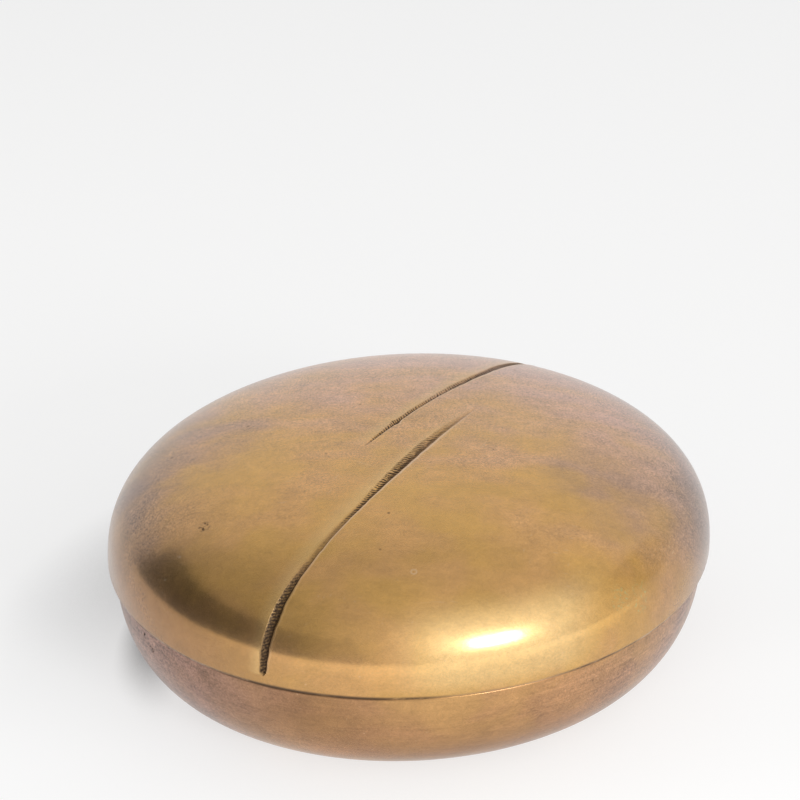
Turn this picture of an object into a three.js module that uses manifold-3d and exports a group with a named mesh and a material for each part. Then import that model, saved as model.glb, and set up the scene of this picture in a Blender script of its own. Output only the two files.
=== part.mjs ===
// Oval cast-brass keepsake box: a rounded base, a soldered locating collar and a lift-off domed lid
// with two cut grooves.
// Millimetres, +Z up. The origin is the centre of the flat underside, and +X runs along the oval's long axis.
import * as THREE from "three";
import { mergeVertices } from "three/addons/utils/BufferGeometryUtils.js";
import Module from "manifold-3d";

const wasm = await Module();
wasm.setup();

// Driving dimensions of the whole box
const lidLength = 150; // the oval at its widest line, along X
const lidWidth = 140; // the same line, along Y
const boxHeight = 59.2; // underside to the top of the dome
const seamHeight = 26.4; // underside to the top of the base's rim
const seamGap = 0.3; // dark line between the two castings

// Base casting
const footLength = 108; // flat oval that the box stands on, along X
const rimInset = 1.9; // how far both rims lie inside the lid's widest line
const rimRound = 0.5; // rounded outer edge of the base's rim
const baseFloor = 3.5; // thickness of the floor
const baseRimWall = 1.7; // wall left outside the collar's rebate
const baseSidePower = 1.9; // fullness of the side: 2 is a true quarter ellipse

// Collar strip, soldered into the base's rebate
const collarThickness = 1.2;
const collarSeat = 5; // depth of the rebate it stands in
const collarProud = 4; // height that it stands above the seam
const solderGap = 0.3; // solder line between the collar and the rebate's wall

// Lid casting
const wideAboveRim = 1.7; // the widest line above the lid's lower edge
const lidWall = 3.2; // thickness at the top of the dome
const lidClearance = 0.3; // running gap between the collar and the lid's recess
const recessRelief = 0.6; // room above the collar before the inner dome starts
const domeSidePower = 2.65; // fullness of the dome seen from above
const domeTopPower = 2.5; // fullness of the dome seen from the side

// Grooves, two straight cuts seen from above, one from each end of the lid
const grooveWidth = 2.6;
const grooveDepth = 1.2;
const grooveFloor = 0.7; // width of the flat at the bottom of the cut
const grooveTip = 0.25; // width left where a cut runs out on top
const grooveAboveWide = 2.2; // start of a cut above the lid's widest line
const grooveTurn = 26; // degrees from the long axis
const grooveFadeShare = 0.5; // part of a cut's steps over which it narrows to its tip
const frontGrooveOffset = 7.4; // distance of each cut from the centre, square to it
const backGrooveOffset = 5.3;
const frontGrooveReach = 20.5; // how far each cut runs past the middle of the lid
const backGrooveReach = 13;

// Mesh fineness and working allowances
const roundSteps = 72;
const domeSteps = 16;
const cavitySteps = 10;
const sideSteps = 10;
const edgeSteps = 3;
const grooveSteps = 32;
const roundPower = 2; // the power of a true quarter circle
const overcut = 2; // how far a cutter runs past the face that it opens
const mergeTolerance = 1e-4;

// Sizes worked out from the values above
const lidHalf = { x: lidLength / 2, y: lidWidth / 2 };
const rimHalf = inset(lidHalf, rimInset);
const rebateHalf = inset(rimHalf, baseRimWall);
const collarHalf = inset(rebateHalf, solderGap);
const cavityHalf = inset(collarHalf, collarThickness);
const recessHalf = inset(collarHalf, -lidClearance);
const footReach = footLength / 2;
const lidRimHeight = seamHeight + seamGap;
const wideHeight = lidRimHeight + wideAboveRim;
const domeRise = boxHeight - wideHeight;
const collarFoot = seamHeight - collarSeat;
const collarTop = seamHeight + collarProud;
const recessTop = collarTop + recessRelief;

function inset(half, distance) {
  return { x: half.x - distance, y: half.y - distance };
}

function point(across, up) {
  return new THREE.Vector2(across, up);
}

// Points of a quarter superellipse, from its tall end (0, rise) to its wide end (reach, 0).
function quarterCurve(reach, rise, sidePower, topPower, steps) {
  return Array.from({ length: steps + 1 }, (_, i) => {
    const turn = (i / steps) * (Math.PI / 2);
    const out = i === steps ? 1 : Math.sin(turn) ** (2 / sidePower);
    const up = i === steps ? 0 : Math.cos(turn) ** (2 / topPower);
    return point(reach * out, rise * up);
  });
}

// Shifts points sideways and upwards.
function moved(points, across, up) {
  return points.map((p) => point(p.x + across, p.y + up));
}

// Turns points upside down, keeping the order from bottom to top.
function flipped(points) {
  return points.map((p) => point(p.x, -p.y));
}

// A closed mesh as a solid that can be cut, without the collapsed triangles that lie on a lathe's axis.
function solidOf(geometry) {
  const bare = new THREE.BufferGeometry();
  bare.setAttribute("position", geometry.getAttribute("position"));
  bare.setIndex(geometry.getIndex());
  const merged = mergeVertices(bare, mergeTolerance);
  const corners = merged.getIndex().array;
  const triVerts = [];
  for (let i = 0; i < corners.length; i += 3) {
    const [a, b, c] = corners.slice(i, i + 3);
    if (a !== b && b !== c && c !== a) triVerts.push(a, b, c);
  }
  return new wasm.Manifold(
    new wasm.Mesh({
      numProp: 3,
      vertProperties: merged.getAttribute("position").array,
      triVerts: new Uint32Array(triVerts),
    }),
  );
}

// A solid of oval sections. The profile runs from the lowest point on the axis, out and up, to the highest,
// and its distances from the axis are those along X.
function ovalSolid(profile, half) {
  const geometry = new THREE.LatheGeometry(profile, roundSteps);
  geometry.rotateX(Math.PI / 2);
  geometry.scale(1, half.y / half.x, 1);
  return solidOf(geometry);
}

// A flat oval disc between two heights.
function ovalDisc(half, low, high) {
  const profile = [point(0, low), point(half.x, low), point(half.x, high), point(0, high)];
  return ovalSolid(profile, half);
}

// The base: a rounded bowl on a flat foot, with a rebate round its mouth for the collar.
function baseShell() {
  const sideReach = rimHalf.x - footReach;
  const sideRise = seamHeight - rimRound;
  const side = quarterCurve(sideReach, sideRise, baseSidePower, baseSidePower, sideSteps);
  const rimEdge = quarterCurve(rimRound, rimRound, roundPower, roundPower, edgeSteps).reverse();
  const outside = [
    point(0, 0),
    ...moved(flipped(side), footReach, sideRise),
    ...moved(rimEdge, rimHalf.x - rimRound, sideRise).slice(1),
    point(0, seamHeight),
  ];
  const hollowReach = cavityHalf.x - footReach;
  const hollowRise = seamHeight - baseFloor;
  const hollow = quarterCurve(hollowReach, hollowRise, baseSidePower, baseSidePower, cavitySteps);
  const inside = [
    point(0, baseFloor),
    ...moved(flipped(hollow), footReach, seamHeight),
    point(cavityHalf.x, seamHeight + overcut),
    point(0, seamHeight + overcut),
  ];
  return ovalSolid(outside, rimHalf)
    .subtract(ovalSolid(inside, cavityHalf))
    .subtract(ovalDisc(rebateHalf, collarFoot, seamHeight + overcut));
}

// The collar: a bent brass strip that stands on the rebate's ledge and guides the lid.
function locatingCollar() {
  const strip = ovalDisc(collarHalf, collarFoot, collarTop);
  return strip.subtract(ovalDisc(cavityHalf, collarFoot - overcut, collarTop + overcut));
}

// Height of the lid's outer surface above a point of the plan.
function domeHeight(x, y) {
  const share = Math.min(1, Math.hypot(x / lidHalf.x, y / lidHalf.y));
  return wideHeight + domeRise * (1 - share ** domeSidePower) ** (1 / domeTopPower);
}

// Where a straight cut at this offset meets the dome at the given height, as a distance along the cut.
function alongAtHeight(offset, height) {
  const share = (1 - ((height - wideHeight) / domeRise) ** domeTopPower) ** (1 / domeSidePower);
  const turn = THREE.MathUtils.degToRad(grooveTurn);
  const along = { x: Math.cos(turn) / lidHalf.x, y: Math.sin(turn) / lidHalf.y };
  const side = { x: (-offset * Math.sin(turn)) / lidHalf.x, y: (offset * Math.cos(turn)) / lidHalf.y };
  const a = along.x ** 2 + along.y ** 2;
  const b = along.x * side.x + along.y * side.y;
  const c = side.x ** 2 + side.y ** 2 - share ** 2;
  return (-b + Math.sqrt(b * b - a * c)) / a;
}

// The cutter for one groove: a trapezoid swept over the dome from near the rim to a fine point on top.
// It is laid out from the +X end, and halfTurn swings it round to the other end.
function grooveCutter(offset, reach, halfTurn) {
  const start = alongAtHeight(offset, wideHeight + grooveAboveWide);
  const turn = THREE.MathUtils.degToRad(grooveTurn);
  const direction = new THREE.Vector2(Math.cos(turn), Math.sin(turn));
  const path = Array.from({ length: grooveSteps + 1 }, (_, i) => {
    const along = start - (start + reach) * (i / grooveSteps) ** domeTopPower;
    const x = along * direction.x - offset * direction.y;
    const y = along * direction.y + offset * direction.x;
    return new THREE.Vector3(x, y, domeHeight(x, y));
  });
  const sideways = new THREE.Vector3(-direction.y, direction.x, 0);
  const wallSlope = (grooveWidth - grooveFloor) / 2 / grooveDepth;
  const rows = path.map((place, i) => {
    const before = path[Math.max(0, i - 1)];
    const after = path[Math.min(grooveSteps, i + 1)];
    const outward = after.clone().sub(before).cross(sideways).normalize();
    if (outward.z < 0) outward.negate();
    const fade = Math.min(1, (grooveSteps - i) / (grooveSteps * grooveFadeShare));
    const half = (grooveTip + (grooveWidth - grooveTip) * fade) / 2;
    const depth = (grooveDepth * half * 2) / grooveWidth;
    const section = [
      point(-half - grooveDepth * wallSlope, grooveDepth),
      point(half + grooveDepth * wallSlope, grooveDepth),
      point(half - depth * wallSlope, -depth),
      point(depth * wallSlope - half, -depth),
    ];
    return section.map((p) => place.clone().addScaledVector(sideways, p.x).addScaledVector(outward, p.y));
  });
  const geometry = sweptGeometry(rows);
  if (halfTurn) geometry.rotateZ(Math.PI);
  return solidOf(geometry);
}

// Skins rows of equally many corners, one row for each step of a sweep, and closes both ends.
function sweptGeometry(rowsOfCorners) {
  const corners = rowsOfCorners.flat();
  const perRow = rowsOfCorners[0].length;
  const rows = rowsOfCorners.length;
  const triangles = [];
  for (let row = 0; row < rows - 1; row++) {
    for (let k = 0; k < perRow; k++) {
      const a = row * perRow + k;
      const b = row * perRow + ((k + 1) % perRow);
      triangles.push(a, b, b + perRow, a, b + perRow, a + perRow);
    }
  }
  const last = (rows - 1) * perRow;
  for (let k = 1; k < perRow - 1; k++) {
    triangles.push(0, k + 1, k, last, last + k, last + k + 1);
  }
  const geometry = new THREE.BufferGeometry().setFromPoints(corners);
  geometry.setIndex(triangles);
  return geometry;
}

// The lid: a full dome that turns in to its rim, hollow inside, with a straight recess over the collar.
function lidShell() {
  const lidRimReach = lidHalf.x - rimInset;
  const turnIn = quarterCurve(rimInset, wideAboveRim, roundPower, roundPower, edgeSteps);
  const dome = quarterCurve(lidHalf.x, domeRise, domeSidePower, domeTopPower, domeSteps).reverse();
  const outside = [
    point(0, lidRimHeight),
    ...moved(flipped(turnIn), lidRimReach, wideHeight),
    ...moved(dome, 0, wideHeight).slice(1),
  ];
  const innerRise = boxHeight - lidWall - recessTop;
  const innerDome = quarterCurve(recessHalf.x, innerRise, domeSidePower, domeTopPower, cavitySteps);
  const inside = [
    point(0, lidRimHeight - overcut),
    point(recessHalf.x, lidRimHeight - overcut),
    ...moved(innerDome.reverse(), 0, recessTop),
  ];
  return ovalSolid(outside, lidHalf)
    .subtract(ovalSolid(inside, recessHalf))
    .subtract(grooveCutter(frontGrooveOffset, frontGrooveReach, true))
    .subtract(grooveCutter(backGrooveOffset, backGrooveReach, false));
}

// A finished solid as a named mesh.
function meshOf(name, solid, material) {
  const made = solid.getMesh();
  const positions = new Float32Array(made.numVert * 3);
  for (let i = 0; i < made.numVert; i++) {
    const from = i * made.numProp;
    positions.set(made.vertProperties.subarray(from, from + 3), i * 3);
  }
  const geometry = new THREE.BufferGeometry();
  geometry.setAttribute("position", new THREE.BufferAttribute(positions, 3));
  geometry.setIndex(new THREE.BufferAttribute(made.triVerts, 1));
  geometry.computeVertexNormals();
  const mesh = new THREE.Mesh(geometry, material);
  mesh.name = name;
  return mesh;
}

const lidBrass = new THREE.MeshStandardMaterial({ color: 0xb98f52, roughness: 0.32, metalness: 1 });
const baseBrass = new THREE.MeshStandardMaterial({ color: 0xae8058, roughness: 0.4, metalness: 1 });
const stripBrass = new THREE.MeshStandardMaterial({ color: 0xc09a58, roughness: 0.3, metalness: 1 });

const box = new THREE.Group();
box.name = "brass_box";
box.add(meshOf("base_shell", baseShell(), baseBrass));
box.add(meshOf("locating_collar", locatingCollar(), stripBrass));
box.add(meshOf("lid_shell", lidShell(), lidBrass));

export default box;
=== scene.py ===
import math
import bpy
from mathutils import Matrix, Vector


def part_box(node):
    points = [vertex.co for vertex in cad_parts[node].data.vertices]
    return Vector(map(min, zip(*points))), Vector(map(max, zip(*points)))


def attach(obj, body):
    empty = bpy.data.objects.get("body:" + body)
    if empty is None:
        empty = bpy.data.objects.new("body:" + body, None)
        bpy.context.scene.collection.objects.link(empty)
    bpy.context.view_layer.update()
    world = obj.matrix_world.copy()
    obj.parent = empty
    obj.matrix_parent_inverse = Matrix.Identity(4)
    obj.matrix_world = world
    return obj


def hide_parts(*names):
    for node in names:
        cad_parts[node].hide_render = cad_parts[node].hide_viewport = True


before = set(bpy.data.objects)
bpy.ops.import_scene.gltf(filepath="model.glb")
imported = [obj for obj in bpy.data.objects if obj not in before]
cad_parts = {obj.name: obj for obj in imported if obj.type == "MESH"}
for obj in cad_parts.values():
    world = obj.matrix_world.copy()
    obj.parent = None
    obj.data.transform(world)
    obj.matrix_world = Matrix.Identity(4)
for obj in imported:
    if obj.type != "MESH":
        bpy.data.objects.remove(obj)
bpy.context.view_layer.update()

from types import SimpleNamespace

import bpy
import numpy as np
from mathutils import Vector

mm = 0.001
lidLow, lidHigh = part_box("lid_shell")
baseLow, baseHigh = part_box("base_shell")
collarLow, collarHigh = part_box("locating_collar")
print("frame loaded:", sorted(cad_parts))


# node wiring: sockets that take plain arithmetic

def plug(tree, slot, value):
    if isinstance(value, Wire):
        tree.links.new(value.socket, slot)
    else:
        slot.default_value = value


class Wire:  # one output socket
    def __init__(self, tree, socket):
        self.tree = tree
        self.socket = socket

    def math(self, operation, *others):
        node = self.tree.nodes.new("ShaderNodeMath")
        node.operation = operation
        for slot, value in zip(node.inputs, (self, *others)):
            plug(self.tree, slot, value)
        return Wire(self.tree, node.outputs[0])

    def __add__(self, other):
        return self.math("ADD", other)

    def __sub__(self, other):
        return self.math("SUBTRACT", other)

    def __mul__(self, other):
        return self.math("MULTIPLY", other)

    def __truediv__(self, other):
        return self.math("DIVIDE", other)

    def __pow__(self, other):
        return self.math("POWER", other)

    def flipped(self):  # one minus the value
        return (self * -1.0) + 1.0


def wire(tree, kind, inputs=None, output=0, **settings):
    node = tree.nodes.new(kind)
    for name, value in settings.items():
        setattr(node, name, value)
    for name, value in (inputs or {}).items():
        plug(tree, node.inputs[name], value)
    return Wire(tree, node.outputs[output])


def smoothStep(value, low, high):
    ends = {"Value": value, "From Min": low, "From Max": high}
    return wire(value.tree, "ShaderNodeMapRange", ends, interpolation_type="SMOOTHSTEP")


def partsOf(vector):
    node = vector.tree.nodes.new("ShaderNodeSeparateXYZ")
    plug(vector.tree, node.inputs[0], vector)
    return [Wire(vector.tree, output) for output in node.outputs]


def newTree(name, inputs):  # a geometry tree with a mesh in and out, and named inputs
    tree = bpy.data.node_groups.new(name, "GeometryNodeTree")
    tree.interface.new_socket("Geometry", in_out="INPUT", socket_type="NodeSocketGeometry")
    tree.interface.new_socket("Geometry", in_out="OUTPUT", socket_type="NodeSocketGeometry")
    for title, kind in inputs.items():
        tree.interface.new_socket(title, in_out="INPUT", socket_type="NodeSocket" + kind)
    entry = tree.nodes.new("NodeGroupInput")
    return tree, {slot.name: Wire(tree, slot) for slot in entry.outputs if slot.name}


def endTree(tree, geometry, material):  # plain mesh, smooth, with its finish
    whole = wire(tree, "GeometryNodeRealizeInstances", {"Geometry": geometry})
    smooth = wire(tree, "GeometryNodeSetShadeSmooth", {"Geometry": whole})
    done = wire(tree, "GeometryNodeSetMaterial", {"Geometry": smooth, "Material": material})
    plug(tree, tree.nodes.new("NodeGroupOutput").inputs[0], done)


def grown(name, blank, tree, values):  # runs a tree on a blank mesh and keeps the result as a plain piece
    seed = bpy.data.objects.new(name + "_blank", blank)
    bpy.context.scene.collection.objects.link(seed)
    modifier = seed.modifiers.new("grow", "NODES")
    modifier.node_group = tree
    for item in tree.interface.items_tree:
        if item.in_out == "INPUT" and item.name in values:
            modifier[item.identifier] = values[item.name]
    seed.update_tag()
    evaluated = seed.evaluated_get(bpy.context.evaluated_depsgraph_get())
    mesh = bpy.data.meshes.new_from_object(evaluated)
    seed.modifiers.remove(modifier)
    bpy.data.objects.remove(seed)
    mesh.name = name
    piece = bpy.data.objects.new(name, mesh)
    bpy.context.scene.collection.objects.link(piece)
    print(name, "has", len(mesh.polygons), "faces")
    return piece


def addLayer(mesh, title, values):  # one number for each point
    layer = mesh.attributes.new(title, "FLOAT", "POINT")
    layer.data.foreach_set("value", np.asarray(values, np.float32))


def chain(name, points, innerFrom):  # a profile as a line of points, the later ones inside the box
    mesh = bpy.data.meshes.new(name)
    links = [(i, i + 1) for i in range(len(points) - 1)]
    mesh.from_pydata([tuple(p) for p in points], links, [])
    addLayer(mesh, "inner", [float(i >= innerFrom) for i in range(len(points))])
    return mesh


# the oval castings

roundPower = 2  # of a true quarter ellipse
edgeMiddle = 0.3  # how far a small rounded edge is cut back at its middle, as a share of its size


def quarterCurve(reach, rise, sidePower, topPower, steps):  # from its tall end to its wide end
    turn = np.linspace(0, math.pi / 2, steps + 1)
    out = np.sin(turn) ** (2 / sidePower)
    up = np.clip(np.cos(turn), 0, 1) ** (2 / topPower)
    up[-1] = 0
    return reach * out, rise * up


def stations(reach, heights, half):  # profile points on ovals that are scaled like the given one
    return [(r, r * half.y / half.x, z) for r, z in zip(reach, heights)]


def turnedOvalTree():
    inputs = {"Steps": "Int", "Material": "Material"}
    tree, given = newTree("turnedOval", inputs)
    profile = given["Geometry"]
    count = wire(tree, "GeometryNodeAttributeDomainSize", {"Geometry": profile})
    perRow = given["Steps"] + 1
    sheet = wire(tree, "GeometryNodeMeshGrid", {"Vertices X": count, "Vertices Y": perRow})
    index = wire(tree, "GeometryNodeInputIndex")
    row = (index / perRow).math("FLOOR")
    turn = (index - row * perRow) / given["Steps"] * math.tau

    def fromProfile(kind, value):  # what the profile holds at a row's own point
        node = tree.nodes.new("GeometryNodeSampleIndex")
        node.data_type = kind
        for slot, source in (("Geometry", profile), ("Value", value), ("Index", row)):
            plug(tree, node.inputs[slot], source)
        return Wire(tree, node.outputs[0])

    place = fromProfile("FLOAT_VECTOR", wire(tree, "GeometryNodeInputPosition"))
    halfLength, halfWidth, height = partsOf(place)
    inner = fromProfile("FLOAT", wire(tree, "GeometryNodeInputNamedAttribute", {"Name": "inner"}))
    spot = {"X": halfLength * turn.math("COSINE"), "Y": halfWidth * turn.math("SINE"), "Z": height}
    spread = {"Geometry": sheet, "Position": wire(tree, "ShaderNodeCombineXYZ", spot)}
    turned = wire(tree, "GeometryNodeSetPosition", spread)
    kept = {"Geometry": turned, "Name": "inner", "Value": inner}
    turned = wire(tree, "GeometryNodeStoreNamedAttribute", kept)
    closed = wire(tree, "GeometryNodeMergeByDistance", {"Geometry": turned, "Distance": 1e-6})
    endTree(tree, closed, given["Material"])
    return tree


baseBowl = {
    "footReach": 52.7 * mm, "rimRound": 0.5 * mm, "floor": 3.5 * mm, "rimWall": 1.7 * mm,
    "sidePower": 2.1, "collarSeat": 5 * mm, "cavityInset": 3.2 * mm, "edge": 0.15 * mm,
    "flatRings": (0, 0.5, 0.96), "steps": 288, "sideSteps": 44, "rimSteps": 5, "hollowSteps": 36,
}


def baseProfile(spec):
    rim = baseHigh.z
    outer = Vector((baseHigh.x, baseHigh.y))
    rebate = outer - Vector((spec["rimWall"],) * 2)
    cavity = outer - Vector((spec["cavityInset"],) * 2)
    foot = spec["footReach"]
    curve = spec["sidePower"], spec["sidePower"]
    out, up = quarterCurve(outer.x - foot, rim - spec["rimRound"], *curve, spec["sideSteps"])
    side = stations(foot + out, rim - spec["rimRound"] - up, outer)
    out, up = quarterCurve(spec["rimRound"], spec["rimRound"], roundPower, roundPower, spec["rimSteps"])
    lip = stations(outer.x - spec["rimRound"] + out[::-1], rim - spec["rimRound"] + up[::-1], outer)
    out, up = quarterCurve(cavity.x - foot, rim - spec["floor"], *curve, spec["hollowSteps"])
    ledge = rim - spec["collarSeat"]
    below = rim - up < ledge
    hollow = stations((foot + out)[below][::-1], (rim - up)[below][::-1], cavity)
    ledgeReach = float(np.interp(ledge, rim - up, foot + out))
    edge, corner = spec["edge"], spec["edge"] * edgeMiddle
    seat = stations(
        [rebate.x + edge, rebate.x + corner, rebate.x, rebate.x, rebate.x - edge],
        [rim, rim - corner, rim - edge, ledge + edge, ledge], rebate)
    step = stations([ledgeReach + edge, ledgeReach], [ledge, ledge - edge], cavity)
    rings = [foot * share for share in spec["flatRings"]]
    underside = stations(rings, [0] * len(rings), outer)
    well = stations(rings[::-1], [spec["floor"]] * len(rings), cavity)
    outside = underside + side + lip[1:]
    return outside + seat + step + hollow + well, len(outside)


collarStrip = {"thickness": 1.2 * mm, "edge": 0.25 * mm, "steps": 288, "edgeSteps": 4}


def collarProfile(spec):
    outer = Vector((collarHigh.x, collarHigh.y))
    low, high, edge = collarLow.z, collarHigh.z, spec["edge"]
    out, up = quarterCurve(edge, edge, roundPower, roundPower, spec["edgeSteps"])
    reach = [0.0, 0.0, *(-edge + out[::-1]), *(-spec["thickness"] + edge - out), -spec["thickness"]]
    height = [low, high - 2 * edge, *(high - edge + up[::-1]), *(high - edge + up), high - 2 * edge]
    reach += [-spec["thickness"], 0.0]
    height += [low, low]
    return [(outer.x + r, outer.y + r, z) for r, z in zip(reach, height)], len(reach)


# the domed lid, laid out as a flat oval sheet whose rows run along the grooves

lidDome = {
    "sidePower": 2.65, "topPower": 2.5, "wideAboveRim": 1.7 * mm, "rimInset": 1.9 * mm,
    "recessInset": 3.6 * mm, "recessTop": 4.3 * mm, "wall": 3.2 * mm, "edge": 0.2 * mm,
    "waviness": 0.12 * mm, "waveScale": 38.0, "rows": 92, "columns": 160, "fineness": 6,
    "turnInSteps": 8, "insideSteps": 30,
}
grooves = {
    "turn": math.radians(26), "fineHalf": 1.96 * mm, "fineStep": 0.14 * mm, "clearHalf": 3.7 * mm,
    "nearHalf": 7 * mm, "lip": 0.05 * mm, "markPitch": 0.8 * mm, "markDepth": 0.2 * mm,
    "shape": ("run", "centre", "half", "deep", "dark"),  # millimetres, and a share of patina
    "soften": 0.3,  # millimetres either way over which a course's corners are rounded
    "cuts": [
        {"offset": -8.0 * mm, "from": -1, "course": [
            (1.9, 0, 0, 0, 0), (2.0, 0, 0.7, 0.5, 1), (3.2, 0, 0.95, 0.75, 1), (12, 0, 1.15, 0.85, 1),
            (20, -0.1, 1.1, 0.8, 1), (26, -0.4, 0.9, 0.6, 0.9), (33, -0.75, 0.68, 0.42, 0.6),
            (45, -0.95, 0.62, 0.38, 0.5), (55, -0.95, 0.66, 0.40, 0.6), (65, -0.45, 0.85, 0.42, 0.65),
            (72, 0, 1, 0.38, 0.65), (82, 0.65, 1.05, 0.30, 0.55), (92, 1.2, 0.95, 0.19, 0.4),
            (100, 1.25, 0.65, 0.11, 0.3), (107, 1.25, 0.3, 0.05, 0.1), (109, 1.2, 0, 0, 0),
            (140, 0, 0, 0, 0)]},
        {"offset": 4.6 * mm, "from": 1, "course": [
            (1.9, 0, 0, 0, 0), (2.0, 0, 0.7, 0.5, 1), (3.2, 0, 0.95, 0.75, 1), (20, 0, 1.1, 0.8, 1),
            (35, -0.3, 1.05, 0.7, 0.8), (48, -0.6, 1.05, 0.5, 0.6), (57, -0.45, 0.9, 0.42, 0.5),
            (67, 0, 0.62, 0.3, 0.4), (80, 0.5, 0.5, 0.3, 0.5), (85.5, 0.47, 0.5, 0.4, 0.8),
            (87.2, 0.4, 0.85, 0.55, 1), (88.5, 0.42, 0.45, 0.4, 0.8), (94, 0.3, 0.36, 0.25, 0.8),
            (100, 0.1, 0.18, 0.1, 0.5), (102, 0.1, 0, 0, 0), (140, 0, 0, 0, 0)]},
    ],
}
lidHalf = Vector((lidHigh.x, lidHigh.y))
wideHeight = lidLow.z + lidDome["wideAboveRim"]
domeRise = lidHigh.z - wideHeight
halfTurn = np.linspace(-math.pi / 2, math.pi / 2, 4001)  # from end to end of a row, finely
farOff = 1.0  # metres, clear of any groove


def domeHeight(x, y):
    share = np.minimum(1, np.hypot(x / lidHalf.x, y / lidHalf.y))
    return wideHeight + domeRise * (1 - share ** lidDome["sidePower"]) ** (1 / lidDome["topPower"])


def rowEnds(offset):  # where a line along the grooves leaves the oval
    c, s = math.cos(grooves["turn"]), math.sin(grooves["turn"])
    square = (c / lidHalf.x) ** 2 + (s / lidHalf.y) ** 2
    cross = offset * c * s * (1 / lidHalf.y ** 2 - 1 / lidHalf.x ** 2)
    rest = (offset * s / lidHalf.x) ** 2 + (offset * c / lidHalf.y) ** 2 - 1
    root = math.sqrt(max(0, cross * cross - square * rest))
    return (-cross - root) / square, (-cross + root) / square


def onPlan(along, offset):
    c, s = math.cos(grooves["turn"]), math.sin(grooves["turn"])
    return along * c - offset * s, along * s + offset * c


def lengthAlong(along, offset):  # distance over the dome from the first point of a row
    x, y = onPlan(along, offset)
    steps = np.diff(np.stack([x, y, domeHeight(x, y)]), axis=1)
    return np.concatenate([[0], np.cumsum(np.linalg.norm(steps, axis=0))])


def evenRow(offset, cells):  # evenly spaced points over the dome, as distances along the row
    low, high = rowEnds(offset)
    middle, half = (low + high) / 2, (high - low) / 2
    run = lengthAlong(middle + half * np.sin(halfTurn), offset)
    even = np.interp(np.linspace(0, run[-1], cells + 1), run, halfTurn)
    return middle + half * np.sin(even)


def rowOffsets():  # every row's distance from the middle, with the groove that it serves
    widest = math.hypot(lidHalf.x * math.sin(grooves["turn"]), lidHalf.y * math.cos(grooves["turn"]))
    across = widest * np.sin(halfTurn)
    height = domeRise * (1 - np.abs(np.sin(halfTurn)) ** lidDome["sidePower"]) ** (1 / lidDome["topPower"])
    run = np.concatenate([[0], np.cumsum(np.hypot(np.diff(across), np.diff(height)))])
    even = np.interp(np.linspace(0, run[-1], lidDome["rows"] + 1)[1:-1], run, across)
    middles = np.array([cut["offset"] for cut in grooves["cuts"]])
    rows = [(offset, None) for offset in even if np.abs(offset - middles).min() > grooves["clearHalf"]]
    steps = round(grooves["fineHalf"] / grooves["fineStep"])
    for cut in grooves["cuts"]:
        rows += [(cut["offset"] + k * grooves["fineStep"], cut) for k in range(-steps, steps + 1)]
    return widest, sorted(rows, key=lambda row: row[0])


def grooveCourse(cut, along, offset):  # run, centre, half width, depth and patina at points of a row
    run = lengthAlong(along, offset)
    if cut["from"] > 0:
        run = run[-1] - run
    course = np.array(cut["course"])
    shifts = -grooves["soften"], 0, grooves["soften"]
    found = {"run": run}
    for column, title in enumerate(grooves["shape"][1:], 1):
        soft = [np.interp(run / mm + shift, course[:, 0], course[:, column]) for shift in shifts]
        found[title] = np.mean(soft, axis=0) * (1 if title == "dark" else mm)
    return found


def stitch(first, second, faces):  # joins two rows of points, of which one may be finer
    if len(first) == len(second):
        faces += [(a, b, d, c) for a, b, c, d in zip(first, first[1:], second, second[1:])]
        return
    coarse, fine = (first, second) if len(first) < len(second) else (second, first)
    each = (len(fine) - 1) // (len(coarse) - 1)
    for cell, (a, b) in enumerate(zip(coarse, coarse[1:])):
        part = fine[cell * each:(cell + 1) * each + 1]
        made = [(a, part[k + 1], part[k]) for k in range(each // 2)]
        made += [(a, b, part[each // 2])]
        made += [(b, part[k + 1], part[k]) for k in range(each // 2, each)]
        faces += made if coarse is first else [face[::-1] for face in made]


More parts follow.
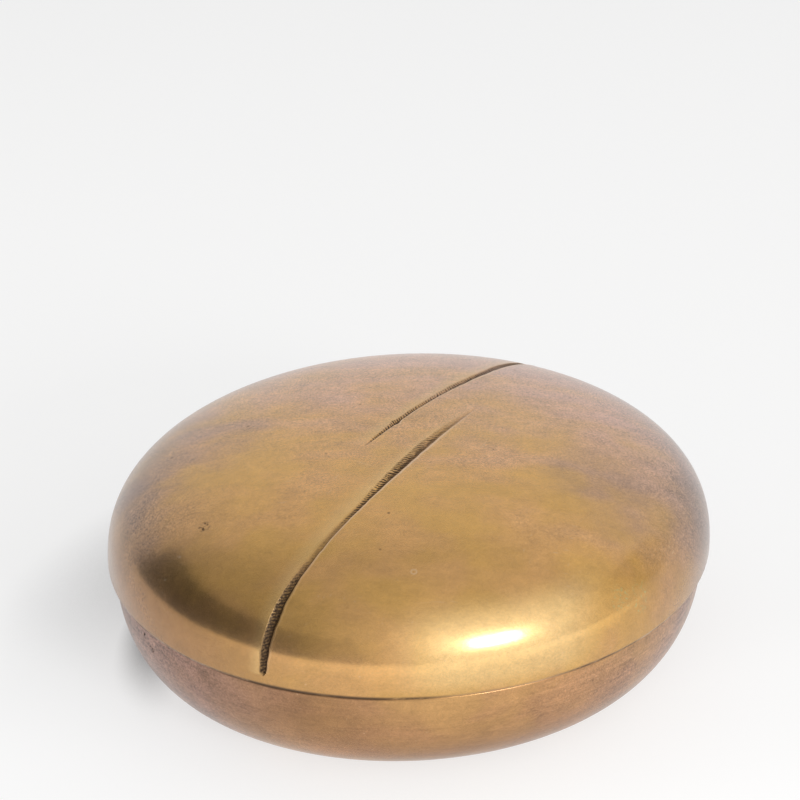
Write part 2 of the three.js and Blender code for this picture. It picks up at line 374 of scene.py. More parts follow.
def lidBlank():
    widest, rows = rowOffsets()
    layers = {title: [] for title in ("sheet", "across", "run", "half", "deep", "dark", "inner")}
    places, lines, faces = [], [], []

    def add(x, y, z, sheet=0.0, across=farOff, run=0.0, half=0.0, deep=0.0, dark=0.0, inner=0.0):
        places.append((x, y, z))
        for title, value in zip(layers, (sheet, across, run, half, deep, dark, inner)):
            layers[title].append(value)
        return len(places) - 1

    for offset, cut in rows:
        along = evenRow(offset, lidDome["columns"] * (lidDome["fineness"] if cut else 1))
        nearest = min(grooves["cuts"], key=lambda each: abs(each["offset"] - offset))
        here = grooveCourse(nearest, along, offset)
        side = np.full(len(along), offset) + (here["centre"] if cut else 0)
        x, y = onPlan(along, side)
        across = side - nearest["offset"] - here["centre"]
        if abs(offset - nearest["offset"]) > grooves["nearHalf"]:
            across += farOff
        spread = zip(x, y, across, here["run"], here["half"], here["deep"], here["dark"])
        line = [add(px, py, wideHeight, 1.0, *rest) for px, py, *rest in spread]
        layers["sheet"][line[0]] = layers["sheet"][line[-1]] = 0.0  # a row's ends stay on the oval
        lines.append(line)
    poles = []
    for sign in (-1, 1):  # the two ends of the stack of rows, where a row shrinks to a point
        low, high = rowEnds(sign * widest)
        poles.append(add(*onPlan((low + high) / 2, sign * widest), wideHeight))
    for first, second in zip(lines, lines[1:]):
        stitch(first, second, faces)
    faces += [(poles[0], b, a) for a, b in zip(lines[0], lines[0][1:])]
    faces += [(poles[1], a, b) for a, b in zip(lines[-1], lines[-1][1:])]
    ring = [poles[0], *(line[-1] for line in lines), poles[1], *(line[0] for line in reversed(lines))]
    around = [(places[v][0] / lidHalf.x, places[v][1] / lidHalf.y) for v in ring]
    profile, innerFrom = insideProfile()
    for step, (halfLength, halfWidth, z) in enumerate(profile):
        inner = float(step >= innerFrom)
        level = [add(halfLength * x, halfWidth * y, z, inner=inner) for x, y in around]
        band = zip(level, level[1:] + level[:1], ring, ring[1:] + ring[:1])
        faces += [(a, b, d, c) for a, b, c, d in band]
        ring = level
    crown = add(0, 0, lidHigh.z - lidDome["wall"], inner=1.0)
    faces += [(crown, b, a) for a, b in zip(ring, ring[1:] + ring[:1])]
    mesh = bpy.data.meshes.new("lidBlank")
    mesh.from_pydata(places, [], faces)
    for title, values in layers.items():
        addLayer(mesh, title, values)
    print("lid blank:", len(places), "points,", len(faces), "faces")
    return mesh


def insideProfile():  # from the widest line down round the rim, then up the recess to the inner dome
    spec = lidDome
    rim = lidHalf - Vector((spec["rimInset"],) * 2)
    recess = lidHalf - Vector((spec["recessInset"],) * 2)
    low, edge = lidLow.z, spec["edge"]
    curve = roundPower, roundPower, spec["turnInSteps"]
    out, up = quarterCurve(spec["rimInset"], spec["wideAboveRim"], *curve)
    turnIn = [(rim.x + o, rim.y + o, wideHeight - u) for o, u in zip(out[::-1], up[::-1])][1:-1]
    reach = [0, -edge, -0.5 * (rim.x - recess.x)]
    land = [(rim.x + r, rim.y + r, low + h) for r, h in zip(reach, (edge * 0.5, 0, 0))]
    top = low + spec["recessTop"]
    corner = edge * edgeMiddle
    wall = [(edge, 0), (corner, corner), (0, edge), (0, top - low - edge)]
    land += [(recess.x + r, recess.y + r, low + h) for r, h in wall]
    curve = spec["sidePower"], spec["topPower"], spec["insideSteps"]
    out, up = quarterCurve(recess.x, lidHigh.z - spec["wall"] - top, *curve)
    dome = stations(out[::-1], top + up[::-1], recess)[:-1]
    return turnIn + land + dome, len(turnIn) + 1


cutFace = {  # a cut seen end on, in half widths: 1 at its upper left edge, -1 at its lower right
    "unevenScale": 300.0, "grainScale": 1900.0, "uneven": (0.6, 0.7), "deepest": -0.35, "slopePower": 1.6,
    "steepPower": 2.0, "bevelOut": (2.4, 0.3), "bevelIn": (-0.2, 0.6), "bevel": 0.14, "slant": (0.9, 0.5),
    "markSway": 2.2, "markGrain": 0.7, "markEdge": (0.35, 0.95), "markLow": (-0.9, -0.3),
    "markHigh": (1.1, 0.5), "spill": 0.7, "fineMarks": 0.14, "lipAt": -1.28, "lipHalf": 0.26,
    "haloAt": 1.5 * mm, "haloHalf": 1.1 * mm,
    "fullDepth": 0.3 * mm, "faintDepth": 0.02 * mm, "within": (1.3, 0.95), "stainEdge": (0.05, 0.6),
    "spillRun": (45 * mm, 70 * mm), "topRun": (38 * mm, 62 * mm), "lipGlintRun": (20 * mm, 40 * mm),
}


def bellCurve(value):  # 1 at zero, falling off to both sides
    return (value * value * -1.0).math("EXPONENT")


def held(value):  # kept between 0 and 1
    return value.math("MAXIMUM", 0.0).math("MINIMUM", 1.0)


def lidTree():
    spec = cutFace
    sizes = ("Half length", "Half width", "Wide height", "Dome rise", "Side power", "Top power")
    cuts = ("Waviness", "Lip height", "Mark pitch", "Mark depth")
    inputs = {**{title: "Float" for title in sizes + cuts}, "Material": "Material"}
    tree, given = newTree("domedLid", inputs)

    def layer(title):
        return wire(tree, "GeometryNodeInputNamedAttribute", {"Name": title})

    place = wire(tree, "GeometryNodeInputPosition")
    x, y, z = partsOf(place)
    share = ((x / given["Half length"]) ** 2 + (y / given["Half width"]) ** 2).math("SQRT")
    fall = (share ** given["Side power"]).flipped().math("MAXIMUM", 0.0)  # from 1 on top to 0
    one = share * 0 + 1
    sway = wire(tree, "ShaderNodeTexNoise", {"Vector": place, "Scale": lidDome["waveScale"], "Detail": 1.0})
    height = given["Wide height"] + given["Dome rise"] * fall ** (one / given["Top power"])
    height = height - sway * fall * given["Waviness"]
    lifted = wire(tree, "ShaderNodeCombineXYZ", {"X": x, "Y": y, "Z": height})
    raising = {"Geometry": given["Geometry"], "Selection": layer("sheet"), "Position": lifted}
    dome = wire(tree, "GeometryNodeSetPosition", raising)

    across, run, half, deep, dark = [layer(t) for t in ("across", "run", "half", "deep", "dark")]
    uneven = wire(tree, "ShaderNodeTexNoise", {"Vector": place, "Scale": spec["unevenScale"], "Detail": 2.0})
    grain = wire(tree, "ShaderNodeTexNoise", {"Vector": place, "Scale": spec["grainScale"], "Detail": 1.0})
    side = across / (half * (uneven * spec["uneven"][0] + spec["uneven"][1]) + 1e-6)
    deepest = spec["deepest"]
    slope = held((side - deepest) / (1 - deepest)) ** spec["slopePower"]
    steep = held((side - deepest) / (-1 - deepest)) ** spec["steepPower"]
    bowl = (slope + steep).flipped()
    bevel = smoothStep(side, *spec["bevelOut"]) * smoothStep(side, *spec["bevelIn"]) * spec["bevel"]
    beat = (run * spec["slant"][0] + across * spec["slant"][1]) / given["Mark pitch"]
    beat = beat + uneven * spec["markSway"]
    wave = beat.math("PINGPONG", 0.5) * 2.0 + (grain - 0.5) * spec["markGrain"]
    stroke = smoothStep(wave, *spec["markEdge"])
    over = smoothStep(run, *spec["spillRun"]) * spec["spill"]  # past the upper edge, on top only
    spill = smoothStep(side - over, *spec["markHigh"])
    cutHere = smoothStep(deep, 0.0, spec["fullDepth"])
    reach = smoothStep(side, *spec["markLow"]) * spill * cutHere
    upTop = smoothStep(run, *spec["topRun"])  # the marks are coarse on top and fine down the wall
    marks = stroke * reach * (grain * 0.8 + 0.6) * (upTop * (1 - spec["fineMarks"]) + spec["fineMarks"])
    lip = bellCurve((side - spec["lipAt"]) / spec["lipHalf"])
    lip = lip * smoothStep(deep, spec["faintDepth"], spec["fullDepth"])
    sunk = given["Lip height"] * lip - deep * (bowl + bevel) - given["Mark depth"] * marks
    halo = bellCurve((across - spec["haloAt"]) / spec["haloHalf"]) * cutHere  # rubbed bright beside the cut
    normal = wire(tree, "GeometryNodeInputNormal")
    push = wire(tree, "ShaderNodeVectorMath", {0: normal, "Scale": sunk}, operation="SCALE")
    sinking = {"Geometry": dome, "Selection": layer("sheet"), "Offset": push}
    cut = wire(tree, "GeometryNodeSetPosition", sinking)
    within = smoothStep(side.math("ABSOLUTE"), *spec["within"])
    patina = smoothStep(bowl + 0.35 - upTop * 0.7, *spec["stainEdge"])  # on top only the deepest line
    stain = patina * dark * within
    # painted highlight: the lip's colour is a bright line along the groove's near edge, faint low on the
    # wall
    lip = lip * (smoothStep(run, *spec["lipGlintRun"]) * 0.8 + 0.2)
    x, y, z = partsOf(place)  # read again after the cut
    top = given["Wide height"] + given["Dome rise"]
    level = wire(tree, "ShaderNodeCombineXYZ", {"X": x, "Y": y, "Z": z.math("MINIMUM", top)})
    cut = wire(tree, "GeometryNodeSetPosition", {"Geometry": cut, "Position": level})
    for title, value in (("stain", stain), ("lip", lip), ("marks", marks * dark), ("halo", halo)):
        keep = {"Geometry": cut, "Name": title, "Value": value}
        cut = wire(tree, "GeometryNodeStoreNamedAttribute", keep)
    endTree(tree, cut, given["Material"])
    return tree


# finishes

def noise(place, scale, detail=3.0, roughness=0.5, distortion=0.0):
    kind = {"Scale": scale, "Detail": detail, "Roughness": roughness, "Distortion": distortion}
    return wire(place.tree, "ShaderNodeTexNoise", {"Vector": place, **kind})


def mixColour(tree, share, first, second):
    node = tree.nodes.new("ShaderNodeMix")
    node.data_type = "RGBA"
    for slot, value in ((0, share), (6, first), (7, second)):
        plug(tree, node.inputs[slot], value)
    return Wire(tree, node.outputs[2])


lidFinish = {
    "gold": (0.62, 0.347, 0.089, 1), "peach": (0.62, 0.337, 0.112, 1), "rose": (0.60, 0.375, 0.295, 1),
    "mauve": (0.21, 0.145, 0.130, 1), "shadeBrown": (0.39, 0.205, 0.082, 1), "stain": (0.085, 0.055, 0.036, 1),
    # the pale brass is for rubbed places and for the painted highlight on the lid's front
    "rubbedAndSheen": (0.74, 0.49, 0.20, 1), "bright": (0.78, 0.56, 0.36, 1), "inside": (0.42, 0.270, 0.120, 1),
    "green": (0.42, 0.46, 0.22, 1), "polished": 0.165, "dull": 0.42, "dullFrom": -50 * mm, "dullTo": 20 * mm,
    "roseFrom": -20 * mm, "roseTo": 72 * mm, "stroke": (90.0, 1900.0, 1900.0),
    "mottle": 1.2, "streak": 0.35, "coat": 0.85, "coatRoughness": 0.33, "relief": 0.02 * mm,
}
lidSides = {
    "wallHeight": (57 * mm, 40 * mm), "wallAway": (-48 * mm, -12 * mm), "wallSlant": 0.12, "wallShare": 0.72,
    "ends": (10 * mm, 50 * mm), "endShare": 0.8,
    "left": (-5 * mm, -62 * mm), "leftHeight": (46 * mm, 35 * mm), "leftBare": 0.6,
    "right": (40 * mm, 66 * mm), "rightHeight": (45 * mm, 36 * mm), "rightShare": 0.5,
    # worn and the sheen keys place a painted highlight: the front lightened to pale brass round the soft
    # box's highlight
    "worn": 0.85, "sheenTop": (49 * mm, 43 * mm), "sheenFoot": (26 * mm, 33 * mm),
    "sheenLeft": (-8 * mm, 11 * mm), "sheenRight": (47 * mm, 34 * mm), "sheenFront": (-15 * mm, -50 * mm),
}
lidMarks = {  # marks of use: places and radii in millimetres
    "pits": [((-58.6, -4.4, 51.3), 1.9), ((-63.6, -34.1, 38.3), 0.5), ((12.6, -17.8, 58.7), 0.5),
             ((-14.2, -20.0, 58.5), 0.6), ((-26.9, -47.7, 51.7), 0.3)],
    "nicks": [((-66.4, -6.5, 46.5), 0.6), ((-70.7, -7.4, 42.0), 0.5)],
    "rings": [((-26.9, -47.7, 51.7), 0.8)],
    "verdigris": [((18.6, -65.5, 40), 4.0), ((25.3, -63.9, 39.3), 3.5), ((24.4, -65.4, 36.3), 3.0)],
    "dulled": [((30.9, -36.9, 54.4), 17.0), ((28, -50, 51), 11.0), ((-46, 30, 51), 27.0)],
}
baseMarks = {
    "pits": [((-73, -0.3, 23.5), 1.1), ((-72.8, -3.3, 21.4), 1.3)],
}
baseFinish = {
    "gold": (0.55, 0.310, 0.118, 1), "peach": (0.53, 0.285, 0.130, 1), "rose": (0.48, 0.300, 0.210, 1),
    "mauve": (0.32, 0.190, 0.150, 1), "shadeBrown": (0.29, 0.145, 0.068, 1), "stain": (0.060, 0.034, 0.020, 1),
    "rubbedAndSheen": (0.62, 0.39, 0.16, 1), "bright": (0.70, 0.48, 0.30, 1), "inside": (0.42, 0.270, 0.120, 1),
    "polished": 0.20, "dull": 0.46, "dullFrom": -90 * mm, "dullTo": 10 * mm,
    "roseFrom": -50 * mm, "roseTo": 90 * mm, "stroke": (70.0, 70.0, 1700.0),
    "mottle": 1.5, "streak": 0.8, "coat": 0.4, "coatRoughness": 0.3, "relief": 0.02 * mm,
}
baseSides = {
    "left": (-18 * mm, -60 * mm), "right": (36 * mm, 78 * mm), "rightShare": 0.8,
    "foot": (24 * mm, 4 * mm), "footShare": 0.75,
    "shaded": (12 * mm, -32 * mm), "shadedHeight": (6 * mm, 20 * mm), "shadedShare": 0.7,
}
collarFinish = {
    "gold": (0.66, 0.42, 0.155, 1), "peach": (0.64, 0.39, 0.165, 1), "rose": (0.58, 0.38, 0.2, 1),
    "mauve": (0.43, 0.300, 0.265, 1), "shadeBrown": (0.40, 0.23, 0.09, 1), "stain": (0.060, 0.034, 0.020, 1),
    "rubbedAndSheen": (0.72, 0.46, 0.18, 1), "bright": (0.78, 0.56, 0.30, 1), "inside": (0.42, 0.270, 0.120, 1),
    "polished": 0.2, "dull": 0.42, "dullFrom": -90 * mm, "dullTo": 90 * mm,
    "roseFrom": 60 * mm, "roseTo": 200 * mm, "stroke": (50.0, 50.0, 2400.0),
    "mottle": 0.4, "streak": 0.3, "coat": 0.2, "coatRoughness": 0.4, "relief": 0.01 * mm,
}
rubbing = math.radians(30.2)  # heading of the back, square to the rubbing marks
# the seam's height, and a painted shade along its crease, lighter where the base rim catches light
seam = {
    "height": (baseHigh.z + lidLow.z) / 2, "seamShadeUp": 0.5 * mm, "seamShade": (1.4 * mm, 0.5 * mm),
    "unshadedAt": 21 * mm, "unshadedHalf": (20 * mm, 9 * mm), "unshadedFront": (0 * mm, -20 * mm),
}
wear = {  # patterns that the three finishes share, with scales in cells to a metre
    "drift": 55.0, "smears": (28.0, 120.0, 120.0), "mottle": (95.0, 140.0, 140.0), "specks": 1900.0,
    "grain": 2400.0, "frost": 40000.0, "ragged": 1500.0, "lathe": (30.0, 30.0, 2500.0),
    "hairlines": ((4, 0.12), (66, 0.1), (-38, 0.06)),  # degrees from the rubbing, and a share of the cells
    "hairline": (32.0, 1500.0, 700.0), "hairlineHalf": 0.17, "sway": 70.0, "swayReach": 5 * mm,
    "pits": 260.0, "pitShare": 0.1, "pitSize": 0.13,
}


def stretched(parts, scales):  # a place whose axes are scaled one by one
    scaled = [part * scale for part, scale in zip(parts, scales)]
    return wire(scaled[0].tree, "ShaderNodeCombineXYZ", dict(zip("XYZ", scaled)))


def drawnOut(spot, scales, detail, roughness):  # noise stretched along the way a piece was rubbed
    return noise(stretched(spot, scales), 1.0, detail, roughness)


def scattered(spot, scale, share, size):  # dots in a share of the cells
    node = spot.tree.nodes.new("ShaderNodeTexVoronoi")
    plug(spot.tree, node.inputs["Vector"], spot)
    plug(spot.tree, node.inputs["Scale"], scale)
    lot = partsOf(Wire(spot.tree, node.outputs["Color"]))[0]
    near = Wire(spot.tree, node.outputs["Distance"])
    return smoothStep(near, size, size * 0.4) * lot.math("LESS_THAN", share)


def scratches(spot, sway, turn, share):  # fine curved hairlines, about a centimetre long
    right, away, up = spot
    along = right * math.cos(turn) + away * math.sin(turn)
    across = away * math.cos(turn) - right * math.sin(turn) + sway
    cells = stretched((along, across, up), wear["hairline"])
    return scattered(cells, 1.0, share, wear["hairlineHalf"])


def nearTo(place, spots, hollow=False):  # 1 on any of the given small round places, or on their rims
    whole = None
    for centre, radius in spots:
        middle = [c * mm for c in centre]
        off = wire(place.tree, "ShaderNodeVectorMath", {0: place, 1: middle}, "Value", operation="DISTANCE")
        off = off / (radius * mm)
        each = smoothStep((off - 0.8).math("ABSOLUTE"), 0.3, 0.1) if hollow else smoothStep(off, 1.0, 0.5)
        whole = whole.math("MAXIMUM", each) if whole else each
    return whole


def brassPatterns(tree, look):  # what every layer of a finish draws on
    place = wire(tree, "ShaderNodeTexCoord", output="Object")
    x, y, z = partsOf(place)
    right = x * math.cos(rubbing) - y * math.sin(rubbing)
    away = x * math.sin(rubbing) + y * math.cos(rubbing)
    spot = right, away, z
    layers = ("stain", "lip", "marks", "halo", "inner")  # left on the meshes by their trees
    return SimpleNamespace(
        place=place, spot=spot,
        drift=noise(place, wear["drift"], 1.5, 0.5, 0.6) - 0.5,  # slow changes of colour
        smears=drawnOut(spot, wear["smears"], 1.5, 0.5) - 0.5,
        mottle=drawnOut(spot, wear["mottle"], 5.0, 0.95) - 0.5,  # rubbed texture, as strong at every size
        streaks=drawnOut(spot, look["stroke"], 2.0, 0.6) - 0.5,
        specks=noise(place, wear["specks"], 1.0, 0.8) - 0.5,
        grain=noise(place, wear["grain"], 2.0, 0.6),
        frost=noise(place, wear["frost"], 0.0),  # finer than the eye sees: a haze over the polish
        ragged=noise(place, wear["ragged"], 2.0, 0.6) - 0.5,
        lathed=noise(stretched((x, y, z), wear["lathe"]), 1.0, 2.0),
        **{title: wire(tree, "ShaderNodeAttribute", output="Fac", attribute_name=title) for title in layers},
    )


def rubbedBrass(tree, look, sides, seen):  # the metal in its slow colours, with the painted shade and painted highlight that the sides give, and where it is worn dull
    drift, smears, mottle = seen.drift, seen.smears, seen.mottle
    right, away, up = seen.spot
    metal = mixColour(tree, smoothStep(drift + smears * 0.7, -0.18, 0.18), look["gold"], look["peach"])
    # rose towards the back and the right: partly patina, partly a painted pale sheen where those sides face
    # the bright backdrop
    agedAndSheen = away + right.math("MAXIMUM", 0.0) * 0.55 + drift * 0.06 + smears * 0.06
    metal = mixColour(tree, smoothStep(agedAndSheen, look["roseFrom"], look["roseTo"]) * 0.9, metal, look["rose"])
    # the sides give tarnish, painted shade and a painted highlight
    tarnish, shadeBrown, paintedSheen = sides(right, away, up)
    tarnish = tarnish + tarnish * (mottle * 0.4 + smears * 0.8 + drift * 0.5)
    tarnish = tarnish.math("MAXIMUM", 0.0).math("MINIMUM", 0.9)
    for share, title in ((shadeBrown, "shadeBrown"), (tarnish, "mauve"), (paintedSheen, "rubbedAndSheen")):
        metal = mixColour(tree, share, metal, look[title])
    worn = smoothStep(away + drift * 0.08 + smears * 0.08, look["dullFrom"], look["dullTo"])
    worn = (worn + tarnish * 0.4).math("MINIMUM", 1.0)
    shade = mottle * look["mottle"] * (worn * 0.4 + 0.6) + seen.specks * (worn * 0.95 + 0.3)
    shade = shade * (tarnish + 1.0) + seen.streaks * look["streak"] * (worn * 0.7 + 0.3) + 1.0
    return wire(tree, "ShaderNodeVectorMath", {0: metal, "Scale": shade}, operation="SCALE"), worn


def scratchedBrass(tree, look, seen, metal):
    sway = (noise(seen.place, wear["sway"], 1.0) - 0.5) * wear["swayReach"]
    lines = [scratches(seen.spot, sway, math.radians(turn), share) for turn, share in wear["hairlines"]]
    hairline = lines[0].math("MAXIMUM", lines[1]).math("MAXIMUM", lines[2])
    return mixColour(tree, hairline * smoothStep(seen.drift, -0.1, 0.1) * 0.5, metal, look["bright"])


def markedBrass(tree, look, marks, seen, metal):  # marks of use, with the pits apart
    pits = scattered(seen.place, wear["pits"], wear["pitShare"], wear["pitSize"])
    pits = pits * smoothStep(seen.drift, -0.05, 0.1) * 0.7
    for kind, spots in marks.items():
        where = nearTo(seen.place, spots, kind == "rings")
        if kind == "pits":
            pits = pits.math("MAXIMUM", where * smoothStep(seen.ragged, 0.0, 0.09))
        elif kind == "dulled":
            dulled = where * (seen.drift * 0.4 + seen.smears * 0.5 + 0.19)
            metal = mixColour(tree, dulled, metal, look["mauve"])
        elif kind == "verdigris":
            metal = mixColour(tree, where * smoothStep(seen.ragged, 0.06, 0.14) * 0.5, metal, look["green"])
        else:  # bare metal
            bare = where * (0.5 if kind == "rings" else smoothStep(seen.ragged, -0.05, 0.05))
            metal = mixColour(tree, bare, metal, look["bright"])
    return metal, pits


def dirtAndSeamShade(seen, pits):  # patina in the cuts and pits, and painted shade in the seam's crease
    right, away, up = seen.spot
    # painted shade in the crease under the lid, patchy, lighter where the base rim catches light
    seamShade = smoothStep((up - seam["height"] - seam["seamShadeUp"]).math("ABSOLUTE"), *seam["seamShade"])
    unshaded = smoothStep((right - seam["unshadedAt"]).math("ABSOLUTE"), *seam["unshadedHalf"])
    unshaded = unshaded * smoothStep(away, *seam["unshadedFront"])
    seamShade = seamShade * smoothStep(seen.drift + seen.mottle, -0.3, 0.05) * (unshaded * -0.65 + 0.9)
    dirtAndShade = seen.stain * (smoothStep(seen.grain, 0.62, 0.42) * 0.25 + 0.65) + seen.marks * 2.4
    return dirtAndShade.math("MAXIMUM", pits * 0.75).math("MAXIMUM", seamShade).math("MINIMUM", 1.0)


def brassFinish(name, look, sides, marks):
    material = bpy.data.materials.new(name)
    material.use_nodes = True
    tree = material.node_tree
    shader = tree.nodes["Principled BSDF"]
    seen = brassPatterns(tree, look)
    metal, worn = rubbedBrass(tree, look, sides, seen)
    metal = scratchedBrass(tree, look, seen, metal)
    metal, pits = markedBrass(tree, look, marks, seen, metal)
    metal = mixColour(tree, seen.halo * (seen.grain * 0.6 + 0.15), metal, look["rubbedAndSheen"])
    # painted highlight along the groove's near lip
    metal = mixColour(tree, seen.lip * 0.75, metal, look["bright"])
    metal = mixColour(tree, seen.inner * (seen.lathed * 0.4 + 0.6), metal, look["inside"])
    dirtAndShade = dirtAndSeamShade(seen, pits)
    plug(tree, shader.inputs["Base Color"], mixColour(tree, dirtAndShade, metal, look["stain"]))

    worn = (worn + seen.inner * 0.8).math("MINIMUM", 1.0)
    haze = smoothStep(seen.frost + worn * 0.16, 0.53, 0.61)
    spread = haze * (look["dull"] - look["polished"]) + look["polished"]
    plug(tree, shader.inputs["Roughness"], spread + seen.mottle * 0.12 + dirtAndShade * 0.55)
    height = seen.streaks * (worn * 0.8 + 0.2) + (seen.grain - 0.5) * 0.3 * worn - pits * 3.0
    relief = wire(tree, "ShaderNodeBump", {"Strength": 1.0, "Distance": look["relief"], "Height": height})
    plug(tree, shader.inputs["Normal"], relief)
    shader.inputs["Metallic"].default_value = 1.0
    plug(tree, shader.inputs["Coat Weight"], dirtAndShade.flipped() * look["coat"])  # no wax where patina or the painted seam shade sits
    shader.inputs["Coat Roughness"].default_value = look["coatRoughness"]
    return material


def lidWalls(right, away, up):  # dull low on both sides, painted shade at both lower rims, a painted highlight in front
    spec = lidSides
    walls = smoothStep(up, *spec["wallHeight"])
    walls = walls * smoothStep(away - right * spec["wallSlant"], *spec["wallAway"])
    ends = smoothStep(right.math("ABSOLUTE"), *spec["ends"])
    walls = walls * (ends * spec["endShare"] + 1 - spec["endShare"])
    # painted shade: both lower rims of the lid darkened, the left one more
    leftRim = smoothStep(right, *spec["left"]) * smoothStep(up, *spec["leftHeight"])
    rightRim = smoothStep(right, *spec["right"]) * smoothStep(up, *spec["rightHeight"])
    walls = walls * (leftRim * -spec["leftBare"] + 1.0)
    # painted highlight: pale brass on the front, round the soft box's highlight
    worn = smoothStep(up, *spec["sheenTop"]) * smoothStep(up, *spec["sheenFoot"]) * spec["worn"]
    worn = worn * smoothStep(right, *spec["sheenLeft"]) * smoothStep(right, *spec["sheenRight"])
    worn = worn * smoothStep(away, *spec["sheenFront"])
    return walls * spec["wallShare"], leftRim + rightRim * spec["rightShare"], worn


def baseEnds(right, away, up):  # tarnish at both ends of the base, the left one more; painted shade towards the foot and up the left side
    spec = baseSides
    ends = smoothStep(right, *spec["left"]) + smoothStep(right, *spec["right"]) * spec["rightShare"]
    shaded = smoothStep(right, *spec["shaded"])
    # painted shade: darker towards the foot and up the left side, where the shaded floor is reflected
    shadeBrown = smoothStep(up, *spec["foot"]) * shaded.flipped() * spec["footShare"]
    shadeBrown = shadeBrown + shaded * (smoothStep(up, *spec["shadedHeight"]) * 0.5 + 0.5) * spec["shadedShare"]
    return ends, shadeBrown, right * 0.0


def nowhere(right, away, up):
    return [right * 0.0] * 3


lidBrass = brassFinish("lidBrass", lidFinish, lidWalls, lidMarks)
baseBrass = brassFinish("baseBrass", baseFinish, baseEnds, baseMarks)
collarBrass = brassFinish("collarBrass", collarFinish, nowhere, {})
print("finishes made")

turnedOval = turnedOvalTree()
base = grown("base_bowl", chain("baseProfile", *baseProfile(baseBowl)), turnedOval,
             {"Steps": baseBowl["steps"], "Material": baseBrass})
collar = grown("collar_strip", chain("collarProfile", *collarProfile(collarStrip)), turnedOval,
               {"Steps": collarStrip["steps"], "Material": collarBrass})
lid = grown("lid_dome", lidBlank(), lidTree(), {
    "Half length": lidHalf.x, "Half width": lidHalf.y, "Wide height": wideHeight, "Dome rise": domeRise,
    "Side power": lidDome["sidePower"], "Top power": lidDome["topPower"],
    "Waviness": lidDome["waviness"], "Lip height": grooves["lip"],
    "Mark pitch": grooves["markPitch"], "Mark depth": grooves["markDepth"], "Material": lidBrass,
})
for piece, body, node, slot in (
    (base, "base", "base_shell", "base_brass"),
    (collar, "base", "locating_collar", "collar_brass"),
    (lid, "lid", "lid_shell", "lid_brass"),
):
    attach(piece, body)
    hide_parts(node)
print("pieces ride on their bodies")


# studio: pale paper sweep, one soft box, a room that is dim on the left; turns and rises are in degrees

photoHeading = math.radians(30.19)  # the way the camera looks, from +Y towards +X


def aside(turn, rise=0.0):  # unit vector at a turn to the right of the way the camera looks
    heading, lift = photoHeading + math.radians(turn), math.radians(rise)
    return Vector((math.sin(heading) * math.cos(lift), math.cos(heading) * math.cos(lift), math.sin(lift)))


def inRadians(angles):
    return [math.radians(angle) for angle in angles]


studioPaper = {
    "width": 6.0, "front": 3.0, "back": 1.6, "bend": 0.5, "rise": 1.6, "bendSteps": 24,
    "colour": (0.36, 0.36, 0.36, 1), "glow": 0.655, "poolTurn": 168, "pool": 0.5, "poolEdge": (0.04, 0.35),
    "nearPool": 0.03, "backShade": 0.08, "backEdge": (-0.1, -0.8),
    "lampTurn": 150, "lampRise": 25, "shadow": 1.15, "shadowReach": 0.04, "shadowFade": 1.5,
    "shadowSide": -45, "shadowEdge": (0.033, 0.085),
    "contact": 1.9, "contactSide": -75, "contactEdge": (0.046, 0.066), "contactOut": (0.076, 0.064),
}


def paperFinish(spec):  # white to the eye, with the box's shadow on its left
    material = bpy.data.materials.new("studioPaper")
    material.use_nodes = True
    tree = material.node_tree
    tree.nodes.clear()
    x, y, z = partsOf(wire(tree, "ShaderNodeTexCoord", output="Object"))

    def out(turn):  # distance over the floor from under the box's middle
        way = aside(turn)
        return x * way.x + y * way.y

    # a painted pool of light: the paper brighter towards the front, a little darker towards the back
    reach = out(spec["poolTurn"])
    pool = smoothStep(reach, *spec["poolEdge"]) * spec["pool"]
    pool = pool + smoothStep(reach, 0.0, spec["poolEdge"][0]) * spec["nearPool"]
    pool = pool - smoothStep(reach, *spec["backEdge"]) * spec["backShade"]
    lampWay = dict(zip("XYZ", aside(spec["lampTurn"], spec["lampRise"])))
    front = {"Distance": spec["shadowReach"], "Normal": wire(tree, "ShaderNodeCombineXYZ", lampWay)}
    hidden = wire(tree, "ShaderNodeAmbientOcclusion", front, "AO", samples=6).flipped()  # by the box
    lee = smoothStep(out(spec["shadowSide"]), *spec["shadowEdge"])
    contact = smoothStep(out(spec["contactSide"]), *spec["contactEdge"])
    contact = contact * smoothStep((x * x + y * y).math("SQRT"), *spec["contactOut"]) * spec["contact"]
    shadow = hidden ** spec["shadowFade"] * lee.math("MAXIMUM", contact) * spec["shadow"]
    lit = shadow.math("MINIMUM", 1.0).flipped()
    rays = ("Is Camera Ray", "Is Glossy Ray", "Is Transmission Ray")
    seen = [wire(tree, "ShaderNodeLightPath", output=title) for title in rays]
    glow = seen[0].math("MAXIMUM", seen[1]).math("MAXIMUM", seen[2]) * (pool + spec["glow"]) * lit
    sheet = wire(tree, "ShaderNodeBsdfDiffuse", {"Color": spec["colour"]})
    shown = wire(tree, "ShaderNodeEmission", {"Strength": glow})
    both = wire(tree, "ShaderNodeAddShader", {0: sheet, 1: shown})
    plug(tree, tree.nodes.new("ShaderNodeOutputMaterial").inputs[0], both)
    return material


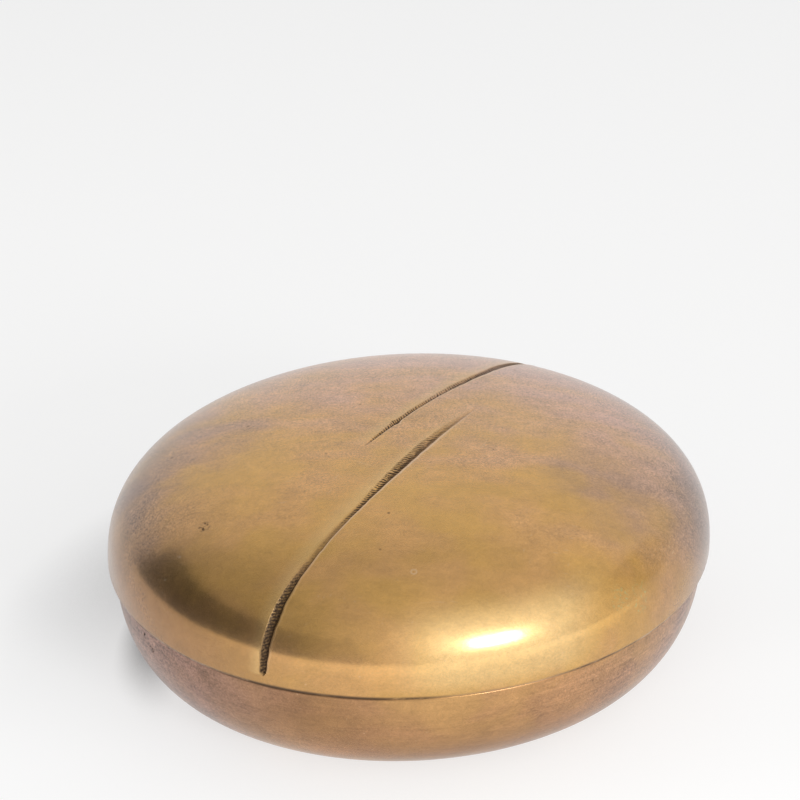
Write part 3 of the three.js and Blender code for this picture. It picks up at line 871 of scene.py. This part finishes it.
def paperSweep(spec):
    bend = spec["bend"]
    turn = np.linspace(0, math.pi / 2, spec["bendSteps"] + 1)
    back = [-spec["front"], *(spec["back"] - bend + bend * np.sin(turn)), spec["back"]]
    height = [0.0, *(bend - bend * np.cos(turn)), spec["rise"]]
    away, right = aside(0), aside(90)
    points = [
        away * b + right * side * spec["width"] / 2 + Vector((0, 0, h))
        for b, h in zip(back, height) for side in (-1, 1)]
    faces = [(2 * k, 2 * k + 1, 2 * k + 3, 2 * k + 2) for k in range(len(back) - 1)]
    mesh = bpy.data.meshes.new("paperSweep")
    mesh.from_pydata(points, [], faces)
    mesh.polygons.foreach_set("use_smooth", [True] * len(faces))
    mesh.materials.append(paperFinish(spec))
    paper = bpy.data.objects.new("paperSweep", mesh)
    bpy.context.scene.collection.objects.link(paper)


studioRoom = {
    "fill": 0.54, "fillSlope": 0.22, "fillTurn": 60, "overhead": 0.12, "overheadRise": (60, 80),
    "glow": 0.82, "glowTurn": 155, "glowRise": 24, "glowSpread": 41,
    "backLift": 0.21, "backTurn": 12, "backRise": (70, 58), "backWidth": (0.05, 0.5),
    "shade": 0.26, "shadeColour": (1, 0.95, 0.68, 1), "shadeTurn": 76, "shadeRise": 20,
    "shadeSpread": (16, 13.5),
    "dim": 0.104, "dimMiddle": -105, "dimLeft": (-192, -88), "dimRight": (-58, -65), "dimRise": (38, 30.5),
    "dimTilt": 0.06,
}


def roomLight(spec):
    world = bpy.data.worlds.new("studio")
    bpy.context.scene.world = world
    world.use_nodes = True
    tree = world.node_tree
    tree.nodes.clear()
    x, y, z = partsOf(wire(tree, "ShaderNodeTexCoord", output="Generated"))

    def towards(turn, rise=0.0):  # 1 where the room is looked at in this direction
        way = aside(turn, rise)
        return x * way.x + y * way.y + z * way.z

    level = towards(spec["fillTurn"]) * spec["fillSlope"] + spec["fill"]
    off = towards(spec["glowTurn"], spec["glowRise"]).math("ARCCOSINE") / math.radians(spec["glowSpread"])
    level = level + bellCurve(off) * spec["glow"]
    rise = z.math("ARCSINE")
    level = level + smoothStep(rise, *inRadians(spec["overheadRise"])) * spec["overhead"]
    back = smoothStep(rise, *inRadians(spec["backRise"]))
    back = back * smoothStep(towards(spec["backTurn"]), *spec["backWidth"])
    level = level + back * spec["backLift"]
    off = towards(spec["shadeTurn"], spec["shadeRise"]).math("ARCCOSINE")
    shaded = smoothStep(off, *inRadians(spec["shadeSpread"]))
    level = level * (shaded * spec["shade"]).flipped()
    middle = spec["dimMiddle"]
    bearing = towards(middle + 90).math("ARCTAN2", towards(middle))
    ends = [inRadians(turn - middle for turn in spec[end]) for end in ("dimLeft", "dimRight")]
    dimShare = smoothStep(bearing, *ends[0]) * smoothStep(bearing, *ends[1])
    dimShare = dimShare * smoothStep(rise - bearing * spec["dimTilt"], *inRadians(spec["dimRise"]))
    level = level * dimShare.flipped() + dimShare * spec["dim"]
    tint = mixColour(tree, shaded, (1, 1, 1, 1), spec["shadeColour"])
    shown = wire(tree, "ShaderNodeBackground", {"Color": tint, "Strength": level})
    plug(tree, tree.nodes.new("ShaderNodeOutputWorld").inputs[0], shown)


softBox = {"turn": 144, "rise": 20.5, "away": 4.0, "width": 1.05, "height": 0.8, "watts": 42.0}


def hangLamp(name, spec):
    lamp = bpy.data.lights.new(name, "AREA")
    lamp.shape = "RECTANGLE"
    lamp.size, lamp.size_y = spec["width"], spec["height"]
    lamp.energy = spec["watts"]
    holder = bpy.data.objects.new(name, lamp)
    way = aside(spec["turn"], spec["rise"])
    holder.location = way * spec["away"]
    holder.rotation_euler = (-way).to_track_quat("-Z", "Y").to_euler()
    bpy.context.scene.collection.objects.link(holder)


paperSweep(studioPaper)
roomLight(studioRoom)
hangLamp("softBox", softBox)
bpy.context.scene.view_settings.view_transform = "Standard"
print("studio set")

camera = {
    "bearing": math.radians(30.37), "rise": math.radians(30), "distance": 0.9, "aimHeight": 30 * mm,
    "tilt": 27.9, "lens": 164.85, "sensor": 36.0, "clip": (0.05, 50),
}


def photoCamera(spec):
    data = bpy.data.cameras.new("photoCamera")
    data.lens = spec["lens"]
    data.sensor_width = spec["sensor"]
    data.clip_start, data.clip_end = spec["clip"]
    holder = bpy.data.objects.new("photoCamera", data)
    flat = spec["distance"] * math.cos(spec["rise"])
    up = spec["distance"] * math.sin(spec["rise"]) + spec["aimHeight"]
    holder.location = (-flat * math.sin(spec["bearing"]), -flat * math.cos(spec["bearing"]), up)
    holder.rotation_euler = aside(0, -spec["tilt"]).to_track_quat("-Z", "Y").to_euler()
    bpy.context.scene.collection.objects.link(holder)
    bpy.context.scene.camera = holder


photoCamera(camera)
